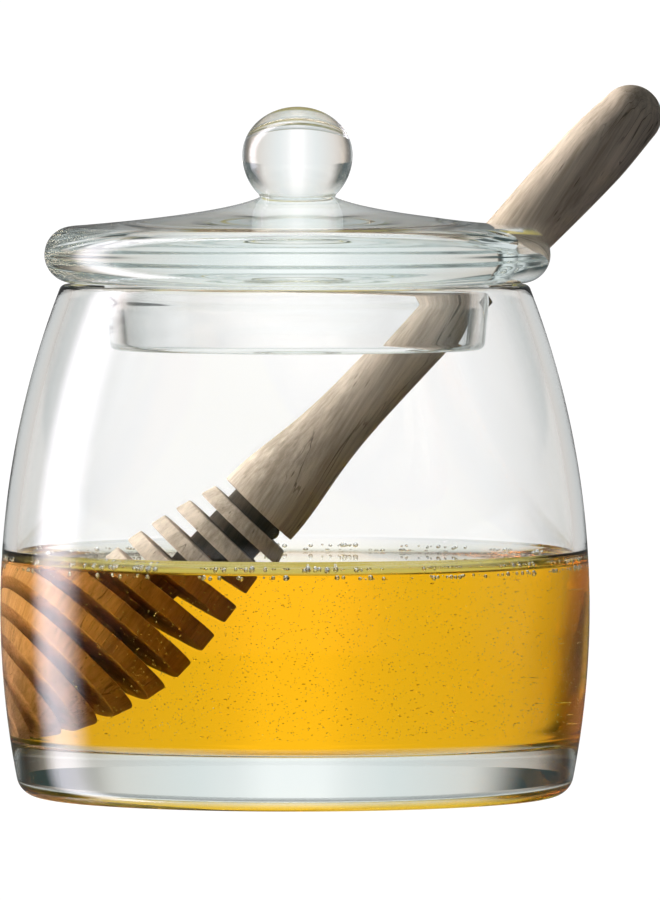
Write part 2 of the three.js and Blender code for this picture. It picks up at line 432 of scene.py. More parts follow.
def honey_piece():
    inset = WALL - INTO_GLASS
    bottom = BASE_THICKNESS - INTO_GLASS
    floor, floor_end = wall_corner(inset, bottom, FLOOR_CORNER, 8)
    side = wall(inset, floor_end, wall_angle(inset, HONEY_LEVEL + EDGE_RISE), 40)
    edge = side[-1]
    climb = bend(edge, (edge[0] - EDGE_RISE / 2, HONEY_LEVEL), (edge[0] - EDGE_REACH, HONEY_LEVEL), 14)
    outline = [(0, bottom), (FLAT_RING, bottom)] + floor + side + climb
    return turned("honey_fill", outline + [(FLAT_RING, HONEY_LEVEL), (0, HONEY_LEVEL)])


honey = honey_piece()
honey.data.materials.append(honey_gold)
mark_wet(honey, lambda at, way: way.z < FACES_UP)

# %% [markdown]
# ## The dipper
# The dipper is one piece of oak turned between centres: a handle with a swelling grip, a flared foot, and
# an egg shaped head cut into discs that hold the honey. It is turned upright here, with its foot at the
# origin. Two small formulas give its radius: one for the head, by the depth below the foot, and one for
# the handle, by the height.

# %% Dipper radii
FOOT_RADIUS, FLARE_LENGTH = 8.1, 15.0
WAIST_RADIUS, GRIP_RADIUS, GRIP_START, GRIP_FULL = 5.36, 6.3, 52.0, 88.0
TIP_START, TIP_RADIUS, HANDLE_LENGTH = 88.0, 5.4, 104.0
DISC_COUNT, DISC_PITCH, DISC_THICKNESS, FIRST_DISC = 10, 5.1, 2.84, 3.69
HEAD_RADIUS, HEAD_MIDDLE, HEAD_TOP_RADIUS, HEAD_END_RADIUS = 14.5, 26.5, 9.1, 6.4
TOP_BULGE, END_BULGE = 1.35, 1.9


def smoothstep(value, low, high):
    share = min(max((value - low) / (high - low), 0), 1)
    return share * share * (3 - 2 * share)


def head_radius(depth):
    end, end_radius, bulge = FIRST_DISC, HEAD_TOP_RADIUS, TOP_BULGE
    if depth >= HEAD_MIDDLE:
        end, end_radius, bulge = FIRST_DISC + (DISC_COUNT - 1) * DISC_PITCH, HEAD_END_RADIUS, END_BULGE
    return HEAD_RADIUS - (HEAD_RADIUS - end_radius) * abs((depth - HEAD_MIDDLE) / (end - HEAD_MIDDLE)) ** bulge


def handle_radius(height):
    flare = (FOOT_RADIUS - WAIST_RADIUS) * math.exp(-((height / FLARE_LENGTH) ** 2))
    grip = (GRIP_RADIUS - WAIST_RADIUS) * smoothstep(height, GRIP_START, GRIP_FULL)
    tip = (GRIP_RADIUS - TIP_RADIUS) * smoothstep(height, TIP_START, HANDLE_LENGTH)
    return WAIST_RADIUS + flare + grip - tip


disc_radii = [head_radius(FIRST_DISC + index * DISC_PITCH) for index in range(DISC_COUNT)]
print("disc radii from the top:", [round(radius, 1) for radius in disc_radii])

# %% [markdown]
# The discs' corners come from a loop, and every corner is rounded by a quarter of a millimetre as sanding
# leaves it. Straight stretches get a point about every millimetre, so that the smooth shading has no long
# thin faces.

# %% Dipper outline
ROOT_SPREAD, CORE_RADIUS = 0.55, 5.5
END_DOME = 0.7
EDGE_SOFT = 0.25
POINT_SPACING = 0.9
FOOT_EDGE = 1.5


def stretch(start, end):
    """Evenly spaced points from start to end, without the last."""
    steps = max(1, round(math.dist(start, end) / POINT_SPACING))
    return [tuple(a + (b - a) * i / steps for a, b in zip(start, end)) for i in range(steps)]


def softened(corners):
    """Rounds each inner corner of a chain of points a little."""
    out = [corners[0]]
    for before, here, after in zip(corners, corners[1:], corners[2:]):
        reach = [min(EDGE_SOFT, math.dist(here, other) / 3) for other in (before, after)]
        ends = [
            tuple(h + (o - h) * r / math.dist(here, other) for h, o in zip(here, other))
            for r, other in zip(reach, (before, after))
        ]
        out += bend(ends[0], here, ends[1], 4)
    return out + [corners[-1]]


def dipper_outline():
    half = DISC_THICKNESS / 2
    corners = []
    for index in reversed(range(DISC_COUNT)):
        depth = FIRST_DISC + index * DISC_PITCH
        root = half + ROOT_SPREAD * index / (DISC_COUNT - 1)
        corners += [(CORE_RADIUS, -depth - root), (head_radius(depth + half), -depth - half),
                    (head_radius(depth - half), -depth + half), (CORE_RADIUS, -depth + root)]
    corners[0] = (0, corners[1][1] - END_DOME)
    corners += [(CORE_RADIUS, 0), (FOOT_RADIUS, 0), (handle_radius(FOOT_EDGE), FOOT_EDGE)]
    chain = softened(corners)
    outline = []
    for here, after in zip(chain, chain[1:]):
        outline += stretch(here, after)
    tip_centre = HANDLE_LENGTH - TIP_RADIUS
    outline += [(handle_radius(h), h) for h in np.linspace(FOOT_EDGE, tip_centre, 90)]
    return outline + arc(0, tip_centre, handle_radius(tip_centre), 0, 90, 20)


print("the dipper's outline has", len(dipper_outline()), "points")

# %% [markdown]
# Now the dipper is turned, leaned over and put in its place. The place goes into the mesh and the object
# stays at the origin, because the export puts every object there.

# %% Dipper
FOOT = (-6.7, 6.6, 51.6)
LEAN, LEAN_BACK = 46.6, 1.0
DIPPER_STEPS = 128
DIPPER_TURN = Euler((0, math.radians(90 - LEAN), math.radians(LEAN_BACK)), "XYZ")
DIPPER_PLACE = Matrix.Translation(Vector(FOOT) * MM) @ DIPPER_TURN.to_matrix().to_4x4()

dipper = turned("dipper_wood", dipper_outline(), DIPPER_STEPS)
dipper.data.transform(DIPPER_PLACE)
print("dipper leans", LEAN, "degrees; its lowest point is",
      round(min(v.co.z for v in dipper.data.vertices) / MM, 2), "mm up")

# %% [markdown]
# ## Turned oak
# The dipper is bare sanded oak. The eye sees grey-brown bands of growth, fine fibre lines, short dark
# pores and a few thin cracks, all running along the grain, which is a little askew to the handle. Every
# pattern is a noise squeezed along the grain, so that round spots become streaks. A Mapping node of type
# Texture first turns object coordinates back to the upright dipper, so the grain follows the wood and not
# the room. Below the honey's level the wood is soaked and redder, and the bottoms of the dry grooves get
# painted shade, a darker colour where shadow falls deep between the discs.

# %% Oak patterns
GRAIN_TILT = 11.0
DRY_OAK = (("#988A7A", 0.38), ("#C8B8A7", 0.62))
# The last colour is painted shade for the bottoms of the dry grooves.
PORE, SOAKED, GROOVE_SHADE = "#33281F", "#FFD7E7", "#817C73"
PORE_LENGTH, PORE_SPACING, DARK_SHARE = 15, 0.85, 0.6
OAK_ROUGHNESS, OAK_GLOSS, OAK_RELIEF, FIBRE_RELIEF = 0.62, 0.2, 0.12, 0.35
# For each streak: how many times it is longer than wide, its width in mm, its detail and its roughness.
STREAKS = {"growth": (16, 3.2, 2, 0.55), "fibre": (34, 0.55, 3, 0.65), "pore_field": (9, 4.0, 1, 0.55),
           "seam": (46, 2.2, 2, 0.5), "seam_field": (5, 6.0, 1, 0.55)}


def dipper_axes(tree):
    """Coordinates of the upright dipper, with its foot at the origin."""
    place = add(tree, "ShaderNodeTexCoord")
    return add(tree, "ShaderNodeMapping", {"Vector": place.outputs["Object"], "Location": Vector(FOOT) * MM,
                                           "Rotation": DIPPER_TURN}, vector_type="TEXTURE")


def oak_streaks(tree, own):
    """One noise for each kind of streak, and cells for the pores."""
    grain = add(tree, "ShaderNodeMapping", {"Vector": own, "Rotation": (0, math.radians(GRAIN_TILT), 0)})
    made = {}
    for name, (length, width, detail, rough) in STREAKS.items():
        squeezed = add(tree, "ShaderNodeMapping", {"Vector": grain, "Scale": (1, 1, 1 / length)})
        made[name] = add(tree, "ShaderNodeTexNoise", {"Vector": squeezed, "Scale": 1 / (width * MM),
                                                      "Detail": detail, "Roughness": rough}).outputs["Fac"]
    squeezed = add(tree, "ShaderNodeMapping", {"Vector": grain, "Scale": (1, 1, 1 / PORE_LENGTH)})
    made["pore"] = add(tree, "ShaderNodeTexVoronoi", {"Vector": squeezed, "Scale": 1 / (PORE_SPACING * MM)})
    return made


print("oak has", len(STREAKS), "kinds of streak, from", min(s[1] for s in STREAKS.values()), "mm wide")

# %% [markdown]
# Pores and cracks are dark marks. A pore is the middle of a cell, and a crack is the thin line where a
# slow noise passes its middle value. Each shows only in patches, given by a second, wider noise, because
# even marks look like wallpaper.

# %% Oak marks
MARKS = {"pore": (0.17, 0.06, "pore_field", 0.42, 0.6), "crack": (0.014, 0.004, "seam_field", 0.5, 0.62)}
SMOOTH = {"interpolation_type": "SMOOTHSTEP"}


def oak_marks(tree, streaks):
    """1 in a pore or crack and 0 elsewhere."""
    middle = add(tree, "ShaderNodeMath", {0: streaks["seam"], 1: 0.5}, operation="SUBTRACT")
    shapes = {"pore": streaks["pore"].outputs["Distance"],
              "crack": add(tree, "ShaderNodeMath", {0: middle}, operation="ABSOLUTE")}
    marks = []
    for name, (edge, core, field, bare, full) in MARKS.items():
        shape = add(tree, "ShaderNodeMapRange", {"Value": shapes[name], "From Min": edge, "From Max": core},
                    **SMOOTH)
        patch = add(tree, "ShaderNodeMapRange", {"Value": streaks[field], "From Min": bare, "From Max": full},
                    **SMOOTH)
        marks.append(add(tree, "ShaderNodeMath", {0: shape, 1: patch}, operation="MULTIPLY"))
    return add(tree, "ShaderNodeMath", {0: marks[0], 1: marks[1]}, operation="MAXIMUM")


def oak_colour(tree, streaks, marks):
    """Dry oak: bands and fibres between two greys, with dark marks."""
    sums = add(tree, "ShaderNodeMath", {0: streaks["growth"], 1: streaks["fibre"]}, operation="ADD")
    mean = add(tree, "ShaderNodeMath", {0: sums, 1: 0.5}, operation="MULTIPLY")
    bands = add(tree, "ShaderNodeValToRGB", {"Fac": mean})
    for element, (shade, position) in zip(bands.color_ramp.elements, DRY_OAK):
        element.position, element.color = position, linear(shade)
    share = add(tree, "ShaderNodeMath", {0: marks, 1: DARK_SHARE}, operation="MULTIPLY")
    return add(tree, "ShaderNodeMix", {"Factor": share, "A": bands, "B": linear(PORE)}, data_type="RGBA")


print("marks on the oak:", ", ".join(MARKS))

# %% [markdown]
# The last step joins these to one material. Two masks darken the dry colour: the height above the table
# for the soaked part, and the distance from the dipper's own axis for painted shade deep in the grooves.

# %% Oak material
SOAK_EDGES = (HONEY_LEVEL + 0.6, HONEY_LEVEL - 0.3)
# Painted shade in the grooves fades in between these distances from the dipper's axis.
GROOVE_SHADE_EDGES = (CORE_RADIUS + 3, CORE_RADIUS + 0.2)
UNDER_FOOT = -0.05


def oak_wood():
    made, tree = material("Turned oak")
    own = dipper_axes(tree)
    streaks = oak_streaks(tree, own)
    marks = oak_marks(tree, streaks)
    place = add(tree, "ShaderNodeTexCoord")
    height = add(tree, "ShaderNodeSeparateXYZ", {"Vector": place.outputs["Object"]}).outputs["Z"]
    sunk = add(tree, "ShaderNodeMapRange", {"Value": height, "From Min": SOAK_EDGES[0] * MM,
                                            "From Max": SOAK_EDGES[1] * MM}, **SMOOTH)
    soaked = add(tree, "ShaderNodeMix", {"Factor": sunk, "A": oak_colour(tree, streaks, marks),
                                         "B": linear(SOAKED)}, data_type="RGBA", blend_type="MULTIPLY")
    across = add(tree, "ShaderNodeVectorMath", {0: own, 1: (1, 1, 0)}, operation="MULTIPLY")
    radius = add(tree, "ShaderNodeVectorMath", {0: across}, operation="LENGTH")
    # Painted shade: near the axis of the head, in the dry grooves, the colour is multiplied darker.
    near_axis_shade = add(tree, "ShaderNodeMapRange", {"Value": radius, "From Min": GROOVE_SHADE_EDGES[0] * MM,
                                             "From Max": GROOVE_SHADE_EDGES[1] * MM}, **SMOOTH)
    along = add(tree, "ShaderNodeSeparateXYZ", {"Vector": own}).outputs["Z"]
    head = add(tree, "ShaderNodeMath", {0: along, 1: UNDER_FOOT * MM}, operation="LESS_THAN")
    groove_shade = add(tree, "ShaderNodeMath", {0: near_axis_shade, 1: head}, operation="MULTIPLY")
    dry = add(tree, "ShaderNodeMath", {0: 1.0, 1: sunk}, operation="SUBTRACT")
    dry_groove_shade = add(tree, "ShaderNodeMath", {0: groove_shade, 1: dry}, operation="MULTIPLY")
    colour = add(tree, "ShaderNodeMix", {"Factor": dry_groove_shade, "A": soaked, "B": linear(GROOVE_SHADE)},
                 data_type="RGBA", blend_type="MULTIPLY")
    fibres = add(tree, "ShaderNodeMath", {0: streaks["fibre"], 1: FIBRE_RELIEF}, operation="MULTIPLY")
    carved = add(tree, "ShaderNodeMath", {0: fibres, 1: marks}, operation="SUBTRACT")
    relief = add(tree, "ShaderNodeBump", {"Height": carved, "Strength": 1.0, "Distance": OAK_RELIEF * MM})
    surface = add(tree, "ShaderNodeBsdfPrincipled", {"Base Color": colour, "Roughness": OAK_ROUGHNESS,
                                                     "Specular IOR Level": OAK_GLOSS, "Normal": relief})
    add(tree, "ShaderNodeOutputMaterial", {"Surface": surface})
    return made


dipper.data.materials.append(oak_wood())
print("oak: soaked below", HONEY_LEVEL, "mm, grooves dark within", GROOVE_SHADE_EDGES[0], "mm of the axis")

# %% [markdown]
# ## Bubbles and specks
# Stirring leaves air in honey. It shows as beads of half a millimetre that gather where the honey meets
# the glass, and as thousands of specks finer than a grain of sand all through it. A bubble is a hole in
# the honey: light goes from honey into air, so its index is 1 divided by 1.49. A small share of white
# makes it glint in front of the dark wood, as the froth on a real bubble does.

# %% Bubble material
CLEAR_SHARE = 0.85
SKIN_WIDTH, SKIN_HEIGHT = 0.4, 0.004


def air_in_honey():
    made, tree = material("Air in honey")
    place = add(tree, "ShaderNodeTexCoord")
    skin = add(tree, "ShaderNodeTexNoise", {"Vector": place.outputs["Object"], "Scale": 1 / (SKIN_WIDTH * MM)})
    relief = add(tree, "ShaderNodeBump", {"Height": skin.outputs["Fac"], "Distance": SKIN_HEIGHT * MM})
    surface = add(tree, "ShaderNodeBsdfPrincipled", {
        "Base Color": linear("#FFFFFF"), "Roughness": 0.0, "IOR": 1 / HONEY_IOR,
        "Transmission Weight": CLEAR_SHARE, "Normal": relief})
    add(tree, "ShaderNodeOutputMaterial", {"Surface": surface})
    return made


air = air_in_honey()
print("a bubble's index is", round(1 / HONEY_IOR, 3))

# %% [markdown]
# Both kinds of bubble are scattered by one sort of Geometry Nodes tree, because they only differ in where
# their points lie. The tree throws points by seeded random values, takes away those inside the dipper,
# puts a small ball on each and realizes the balls. Its sizes are named inputs, and each kind hands in a
# function for its points.

# %% Scatter tree
SIZE_SALT, SHRINK_SALT, SHRINK = 7, 8, 0.6


def near_dipper(tree, reach):
    """True for points nearer than this to the dipper's axis."""
    where = add(tree, "GeometryNodeInputPosition")
    away = add(tree, "ShaderNodeVectorMath", {0: where, 1: Vector(FOOT) * MM}, operation="SUBTRACT")
    axis = DIPPER_TURN.to_matrix() @ Vector((0, 0, 1))
    side = add(tree, "ShaderNodeVectorMath", {0: away, 1: axis}, operation="CROSS_PRODUCT")
    far = add(tree, "ShaderNodeVectorMath", {0: side}, operation="LENGTH")
    return add(tree, "ShaderNodeMath", {0: far, 1: reach}, operation="LESS_THAN")


def scatter_tree(name, settings, place_points, detail):
    """A node group with named number inputs that puts balls on points and realizes them."""
    tree = bpy.data.node_groups.new(name, "GeometryNodeTree")
    tree.is_modifier = True
    tree.interface.new_socket("Geometry", in_out="OUTPUT", socket_type="NodeSocketGeometry")
    for label, value in settings.items():
        kind = "NodeSocketInt" if isinstance(value, int) else "NodeSocketFloat"
        tree.interface.new_socket(label, in_out="INPUT", socket_type=kind)
    given = add(tree, "NodeGroupInput").outputs

    def chance(low, high, salt, **key):
        """A random value for each point, or for each group of points that share an ID."""
        seed = add(tree, "FunctionNodeIntegerMath", {0: given["Seed"], 1: salt}, operation="ADD")
        return add(tree, "FunctionNodeRandomValue", {"Min": low, "Max": high, "Seed": seed, **key})

    turn, reach, height = place_points(tree, chance)
    sides = [add(tree, "ShaderNodeMath", {0: reach, 1: add(tree, "ShaderNodeMath", {0: turn}, operation=way)},
                 operation="MULTIPLY") for way in ("COSINE", "SINE")]
    spot = add(tree, "ShaderNodeCombineXYZ", {"X": sides[0], "Y": sides[1], "Z": height})
    points = add(tree, "GeometryNodePoints", {"Count": given["Count"], "Position": spot})
    cloud = add(tree, "GeometryNodeDeleteGeometry", {"Geometry": points,
                                                     "Selection": near_dipper(tree, given["Clear of Dipper"])})
    ball = add(tree, "GeometryNodeMeshIcoSphere", {"Radius": 1.0, "Subdivisions": detail})
    size = add(tree, "ShaderNodeMath", {0: chance(given["Smallest"], given["Largest"], SIZE_SALT),
                                        1: chance(SHRINK, 1.0, SHRINK_SALT)}, operation="MULTIPLY")
    balls = add(tree, "GeometryNodeInstanceOnPoints", {"Points": cloud, "Instance": ball.outputs["Mesh"],
                                                       "Scale": size})
    solid = add(tree, "GeometryNodeRealizeInstances", {"Geometry": balls})
    smooth = add(tree, "GeometryNodeSetShadeSmooth", {"Geometry": solid})
    coated = add(tree, "GeometryNodeSetMaterial", {"Geometry": smooth, "Material": air})
    add(tree, "NodeGroupOutput", {"Geometry": coated})
    return tree


# %% [markdown]
# A modifier runs the tree on an empty mesh. Its inputs are set by their identifiers before it first runs,
# and then the result becomes a plain mesh and the modifier goes, as with the lid.

# %% Running a scatter tree
def scattered(name, settings, place_points, detail):
    """A plain mesh piece made by a scatter tree with these settings."""
    tree = scatter_tree(name, settings, place_points, detail)
    piece = bpy.data.objects.new(name, bpy.data.meshes.new(name))
    bpy.context.scene.collection.objects.link(piece)
    scatter = piece.modifiers.new("scatter", "NODES")
    scatter.node_group = tree
    for item in tree.interface.items_tree:
        if item.in_out == "INPUT":
            scatter[item.identifier] = settings[item.name]
    settle(piece)
    print(name, "has", len(piece.data.polygons), "faces")
    return piece


# %% [markdown]
# ## Beads along the glass
# The larger bubbles rise and stop at the glass, some at the honey's level and some on the edge that
# climbs above it. They cling together, so points share a place round the jar by groups and are then
# spread a little.

# %% Bubbles along the glass
BEADS = {"Count": 400, "Seed": 5, "Smallest": 0.16 * MM, "Largest": 0.66 * MM, "Clear of Dipper": 0.0}
BEAD_GROUPS, UPPER_SHARE = 170, 0.45
UPPER_ROW, LOWER_ROW = HONEY_LEVEL + 1.1, HONEY_LEVEL - 0.3
BEAD_TURN_SPREAD, BEAD_HEIGHT_SPREAD = 0.045, 0.18
BEAD_CLEARANCE, BEAD_DEPTH = 0.5, 0.4


def bead_places(tree, chance):
    index = add(tree, "GeometryNodeInputIndex")
    group = add(tree, "FunctionNodeIntegerMath", {0: index, 1: BEAD_GROUPS}, operation="MODULO")
    turn = add(tree, "ShaderNodeMath", {0: chance(0.0, 2 * math.pi, 1, ID=group),
                                        1: chance(-BEAD_TURN_SPREAD, BEAD_TURN_SPREAD, 2)}, operation="ADD")
    upper = add(tree, "ShaderNodeMath", {0: chance(0.0, 1.0, 3, ID=group), 1: UPPER_SHARE},
                operation="LESS_THAN")
    row = add(tree, "ShaderNodeMapRange", {"Value": upper, "To Min": LOWER_ROW * MM, "To Max": UPPER_ROW * MM})
    spread = BEAD_HEIGHT_SPREAD * MM
    height = add(tree, "ShaderNodeMath", {0: row, 1: chance(-spread, spread, 4)}, operation="ADD")
    inside = wall(WALL, wall_angle(WALL, HONEY_LEVEL), 0, 1)[0][0]
    reach = add(tree, "ShaderNodeMath", {0: (inside - BEAD_CLEARANCE) * MM, 1: chance(0.0, BEAD_DEPTH * MM, 5)},
                operation="SUBTRACT")
    return turn, reach, height


beads = scattered("honey_bubbles", BEADS, bead_places, 2)

# %% [markdown]
# ## Specks in the depth
# The finest air is spread evenly through the honey. The square root of a random value gives each ring of
# the jar as many specks as its area needs. These are so small that twenty faces are round enough.

# %% Specks in the depth
SPECKS = {"Count": 5200, "Seed": 11, "Smallest": 0.06 * MM, "Largest": 0.145 * MM,
          "Clear of Dipper": (HEAD_RADIUS + 0.6) * MM}
SPECK_REACH = 47.5
SPECK_LOW, SPECK_HIGH = BASE_THICKNESS + 2.5, HONEY_LEVEL - 0.6


def speck_places(tree, chance):
    turn = chance(0.0, 2 * math.pi, 1)
    root = add(tree, "ShaderNodeMath", {0: chance(0.0, 1.0, 2)}, operation="SQRT")
    reach = add(tree, "ShaderNodeMath", {0: root, 1: SPECK_REACH * MM}, operation="MULTIPLY")
    return turn, reach, chance(SPECK_LOW * MM, SPECK_HIGH * MM, 3)


specks = scattered("honey_specks", SPECKS, speck_places, 1)

# %% [markdown]
# ## A drop in the first groove
# One drop of honey hangs in the groove under the handle, held between the foot and the first disc. It is
# a small ball from the lathe, a little longer along the dipper's axis, with the honey's own material.

# %% Honey drop
DROP_SIZE, DROP_STRETCH, DROP_STEPS = 0.95, 1.25, 24
DROP_DEPTH, DROP_SIDE, DROP_FRONT = -1.2, 4.9, -3.4

drop = turned("honey_drop", arc(0, 0, DROP_SIZE, -90, 90, DROP_STEPS // 2), DROP_STEPS)
for corner in drop.data.vertices:
    corner.co.z = corner.co.z * DROP_STRETCH + DROP_DEPTH * MM
drop.data.transform(Matrix.Translation((DROP_SIDE * MM, DROP_FRONT * MM, 0)))
drop.data.transform(DIPPER_PLACE)
drop.data.materials.append(honey_gold)
mark_wet(drop, lambda at, way: False)

# %% [markdown]
# ## What each piece is to the frame
# Nothing moves, so every piece rides on the one body, root. The CAD solid that each stands for is hidden.
# The bubbles, the specks and the drop stand for no solid.

# %% Ride and replace
for piece, node_name, slot_name in ((jar, "glass_jar", "clear_glass"), (lid, "glass_lid", "clear_glass"),
                                    (honey, "honey", "honey"), (dipper, "oak_dipper", "oak")):
    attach(piece, "root")
    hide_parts(node_name)
for piece in (beads, specks, drop):
    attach(piece, "root")
print("seven pieces ride on root")

# %% [markdown]
# ## Camera
# The pot is seen from the front, from a little above and from far away, so its sides are nearly parallel.
# The lens is worked out so that one pixel of a picture 900 high is a known size at the pot.

# %% Camera
PIXEL_MM = 0.1815
AIM = Vector((6.35, 0, 62.7)) * MM
CAMERA_DISTANCE = 2.4
CAMERA_PITCH = 2.19
FRAME_LONG_SIDE = 900
CAMERA_REACH = 20

camera_data = bpy.data.cameras.new("camera")
camera = bpy.data.objects.new("camera", camera_data)
bpy.context.scene.collection.objects.link(camera)
pitch = math.radians(CAMERA_PITCH)
camera.location = AIM + CAMERA_DISTANCE * Vector((0, -math.cos(pitch), math.sin(pitch)))
camera.rotation_euler = (math.pi / 2 - pitch, 0, 0)
camera_data.lens = camera_data.sensor_width * CAMERA_DISTANCE / (FRAME_LONG_SIDE * PIXEL_MM * MM)
camera_data.clip_end = CAMERA_REACH
bpy.context.scene.camera = camera
print("lens", round(camera_data.lens), "mm")

# %% [markdown]
# ## The studio's walls
# Clear glass shows what stands round it. A photographer puts a bright panel behind it and darker boards
# to the sides, which draw its edges. Here a colour ramp holds that ring of walls by the angle from
# straight behind the pot. Floor and world both read it, so no line shows where they meet. Walls that are
# less than bright are a cool green-grey, but warm beside the panel, where golden light from the honey
# falls on them.

# %% Ring of walls
PANEL, BOARD, GOLDEN_BOARD = linear("#FFFFFF"), linear("#DFF3F2"), linear("#F7E7D6")
GOLDEN_ANGLES = (30, 70)
WHITE_FROM = 0.6
HALF_RING = ((0, 1.1), (3.5, 1.1), (8, 0.97), (14, 0.91), (36, 0.8), (48, 0.64), (56, 0.25), (66, 0.07),
             (71, 0.12), (80, 0.9), (100, 0.9), (114, 0.12), (128, 0.12), (150, 0.85), (170, 1.0), (180, 1.0))
RING = [(-angle, level) for angle, level in HALF_RING[:0:-1]] + list(HALF_RING)


def wall_colour(angle, level):
    """The brighter a wall is, the nearer it is to plain white."""
    board = GOLDEN_BOARD if GOLDEN_ANGLES[0] < abs(angle) < GOLDEN_ANGLES[1] else BOARD
    white = min(max((level - WHITE_FROM) / (1 - WHITE_FROM), 0), 1)
    return [level * (b + (p - b) * white) for b, p in zip(board, PANEL)][:3] + [1]


def turn_of(tree, parts):
    """The angle of a direction from straight behind the pot."""
    return add(tree, "ShaderNodeMath", {0: parts.outputs["X"], 1: parts.outputs["Y"]}, operation="ARCTAN2")


def ring_of_walls(tree, parts):
    share = add(tree, "ShaderNodeMapRange", {"Value": turn_of(tree, parts), "From Min": -math.pi,
                                             "From Max": math.pi})
    ring = add(tree, "ShaderNodeValToRGB", {"Fac": share})
    stops = ring.color_ramp.elements
    while len(stops) < len(RING):
        stops.new(0.5)
    for stop, (angle, level) in zip(stops, RING):
        stop.position = (angle + 180) / 360
        stop.color = wall_colour(angle, level)
    return ring


print("the ring of walls has", len(RING), "stops")

# %% [markdown]
# The walls are bright where the eye looks at them straight through glass or honey, but they must not
# flood the wood with flat light. So floor and world ask for the kind of ray with a Light Path node. This
# stays in the studio: the pieces' own materials never ask for it.

# %% Rays through glass
FIRST_BOUNCE = 0.5  # between no bounce off a matt surface and one


def seen_through(tree, path):
    """1 for light that comes to the eye straight through glass or honey, 0 for light that falls on the wood."""
    straight = add(tree, "ShaderNodeMath", {0: path.outputs["Diffuse Depth"], 1: FIRST_BOUNCE},
                   operation="LESS_THAN")
    return add(tree, "ShaderNodeMath", {0: path.outputs["Is Transmission Ray"], 1: straight},
               operation="MULTIPLY")


# %% [markdown]
# ## Floor
# The floor is a white paper sheet that melts into the background for the eye. Seen through the pot it
# carries on the ring of walls, and under the pot it glows a little, as paper does below a jar of lit
# honey.

# %% Floor
FLOOR_HALF, FLOOR_DROP = 4.0, 0.0002
UNDER_POT, UNDER_POT_EDGES = "#CBD1D0", (0.11, 0.07)
PAPER, PAPER_SHEEN, SHEEN_ROUGHNESS = "#A2A6A6", "#F3F6F6", 0.05
WHITE_LEVEL = 1.05


def paper_sheet():
    made, tree = material("White paper sheet")
    path = add(tree, "ShaderNodeLightPath")
    place = add(tree, "ShaderNodeTexCoord")
    parts = add(tree, "ShaderNodeSeparateXYZ", {"Vector": place.outputs["Object"]})
    distance = add(tree, "ShaderNodeVectorMath", {0: place.outputs["Object"]}, operation="LENGTH")
    under = add(tree, "ShaderNodeMapRange", {"Value": distance, "From Min": UNDER_POT_EDGES[0],
                                             "From Max": UNDER_POT_EDGES[1]}, **SMOOTH)
    lit = add(tree, "ShaderNodeMix", {"Factor": under, "A": ring_of_walls(tree, parts), "B": linear(UNDER_POT)},
              data_type="RGBA")
    backdrop = add(tree, "ShaderNodeEmission", {"Color": lit})
    sheen = add(tree, "ShaderNodeBsdfGlossy", {"Color": linear(PAPER_SHEEN), "Roughness": SHEEN_ROUGHNESS})
    white = add(tree, "ShaderNodeEmission", {"Color": linear("#FFFFFF"), "Strength": WHITE_LEVEL})
    sheet = add(tree, "ShaderNodeBsdfDiffuse", {"Color": linear(PAPER)})
    for share, other in ((path.outputs["Is Reflection Ray"], sheen), (seen_through(tree, path), backdrop),
                         (path.outputs["Is Camera Ray"], white)):
        sheet = add(tree, "ShaderNodeMixShader", {0: share, 1: sheet, 2: other})
    add(tree, "ShaderNodeOutputMaterial", {"Surface": sheet})
    return made


def pale_floor():
    mesh = bpy.data.meshes.new("floor")
    corners = [(x * FLOOR_HALF, y * FLOOR_HALF, 0) for x, y in ((-1, -1), (1, -1), (1, 1), (-1, 1))]
    mesh.from_pydata(corners, [], [(0, 1, 2, 3)])
    mesh.materials.append(paper_sheet())
    floor = bpy.data.objects.new("floor", mesh)
    bpy.context.scene.collection.objects.link(floor)
    floor.location.z = -FLOOR_DROP


pale_floor()
print("floor", 2 * FLOOR_HALF, "m wide, just under the jar")

# %% [markdown]
# ## World
# The world is the same ring of walls above the floor, with a pale ceiling. Dark cloth hangs along both
# sides above the boards, which gives the thick base its dark ends. What glass mirrors is dim, apart from
# one tall soft light at the left that leaves a white streak on the jar.

# %% World
AMBIENT, MIRRORED_ROOM = 0.27, 0.1
CEILING_COLOUR, CEILING_RISE = "#E7EFEF", (0.4, 0.8)
CLOTH, CLOTH_ANGLES, CLOTH_FOOT, CLOTH_TOP = "#3C4B4B", (27, 46), (0.105, 0.13), (0.7, 0.4)
STREAK, STREAK_TURN, STREAK_EDGES, STREAK_LEVEL = "#FCF5FF", -71, (19, 2), 8.0


def room_colour(tree, parts):
    """Walls, cloth and ceiling by direction."""
    off_centre = add(tree, "ShaderNodeMath", {0: turn_of(tree, parts)}, operation="ABSOLUTE")
    rise = parts.outputs["Z"]
    sides = [math.radians(angle) for angle in CLOTH_ANGLES]
    edges = ((off_centre, sides), (rise, CLOTH_FOOT), (rise, CLOTH_TOP))
    cloth = 1.0
    for value, (bare, full) in edges:
        part = add(tree, "ShaderNodeMapRange", {"Value": value, "From Min": bare, "From Max": full}, **SMOOTH)
        cloth = add(tree, "ShaderNodeMath", {0: part, 1: cloth}, operation="MULTIPLY")
    draped = add(tree, "ShaderNodeMix", {"Factor": cloth, "A": ring_of_walls(tree, parts), "B": linear(CLOTH)},
                 data_type="RGBA")
    above = add(tree, "ShaderNodeMapRange", {"Value": rise, "From Min": CEILING_RISE[0],
                                             "From Max": CEILING_RISE[1]})
    return add(tree, "ShaderNodeMix", {"Factor": above, "A": draped, "B": linear(CEILING_COLOUR)},
               data_type="RGBA")


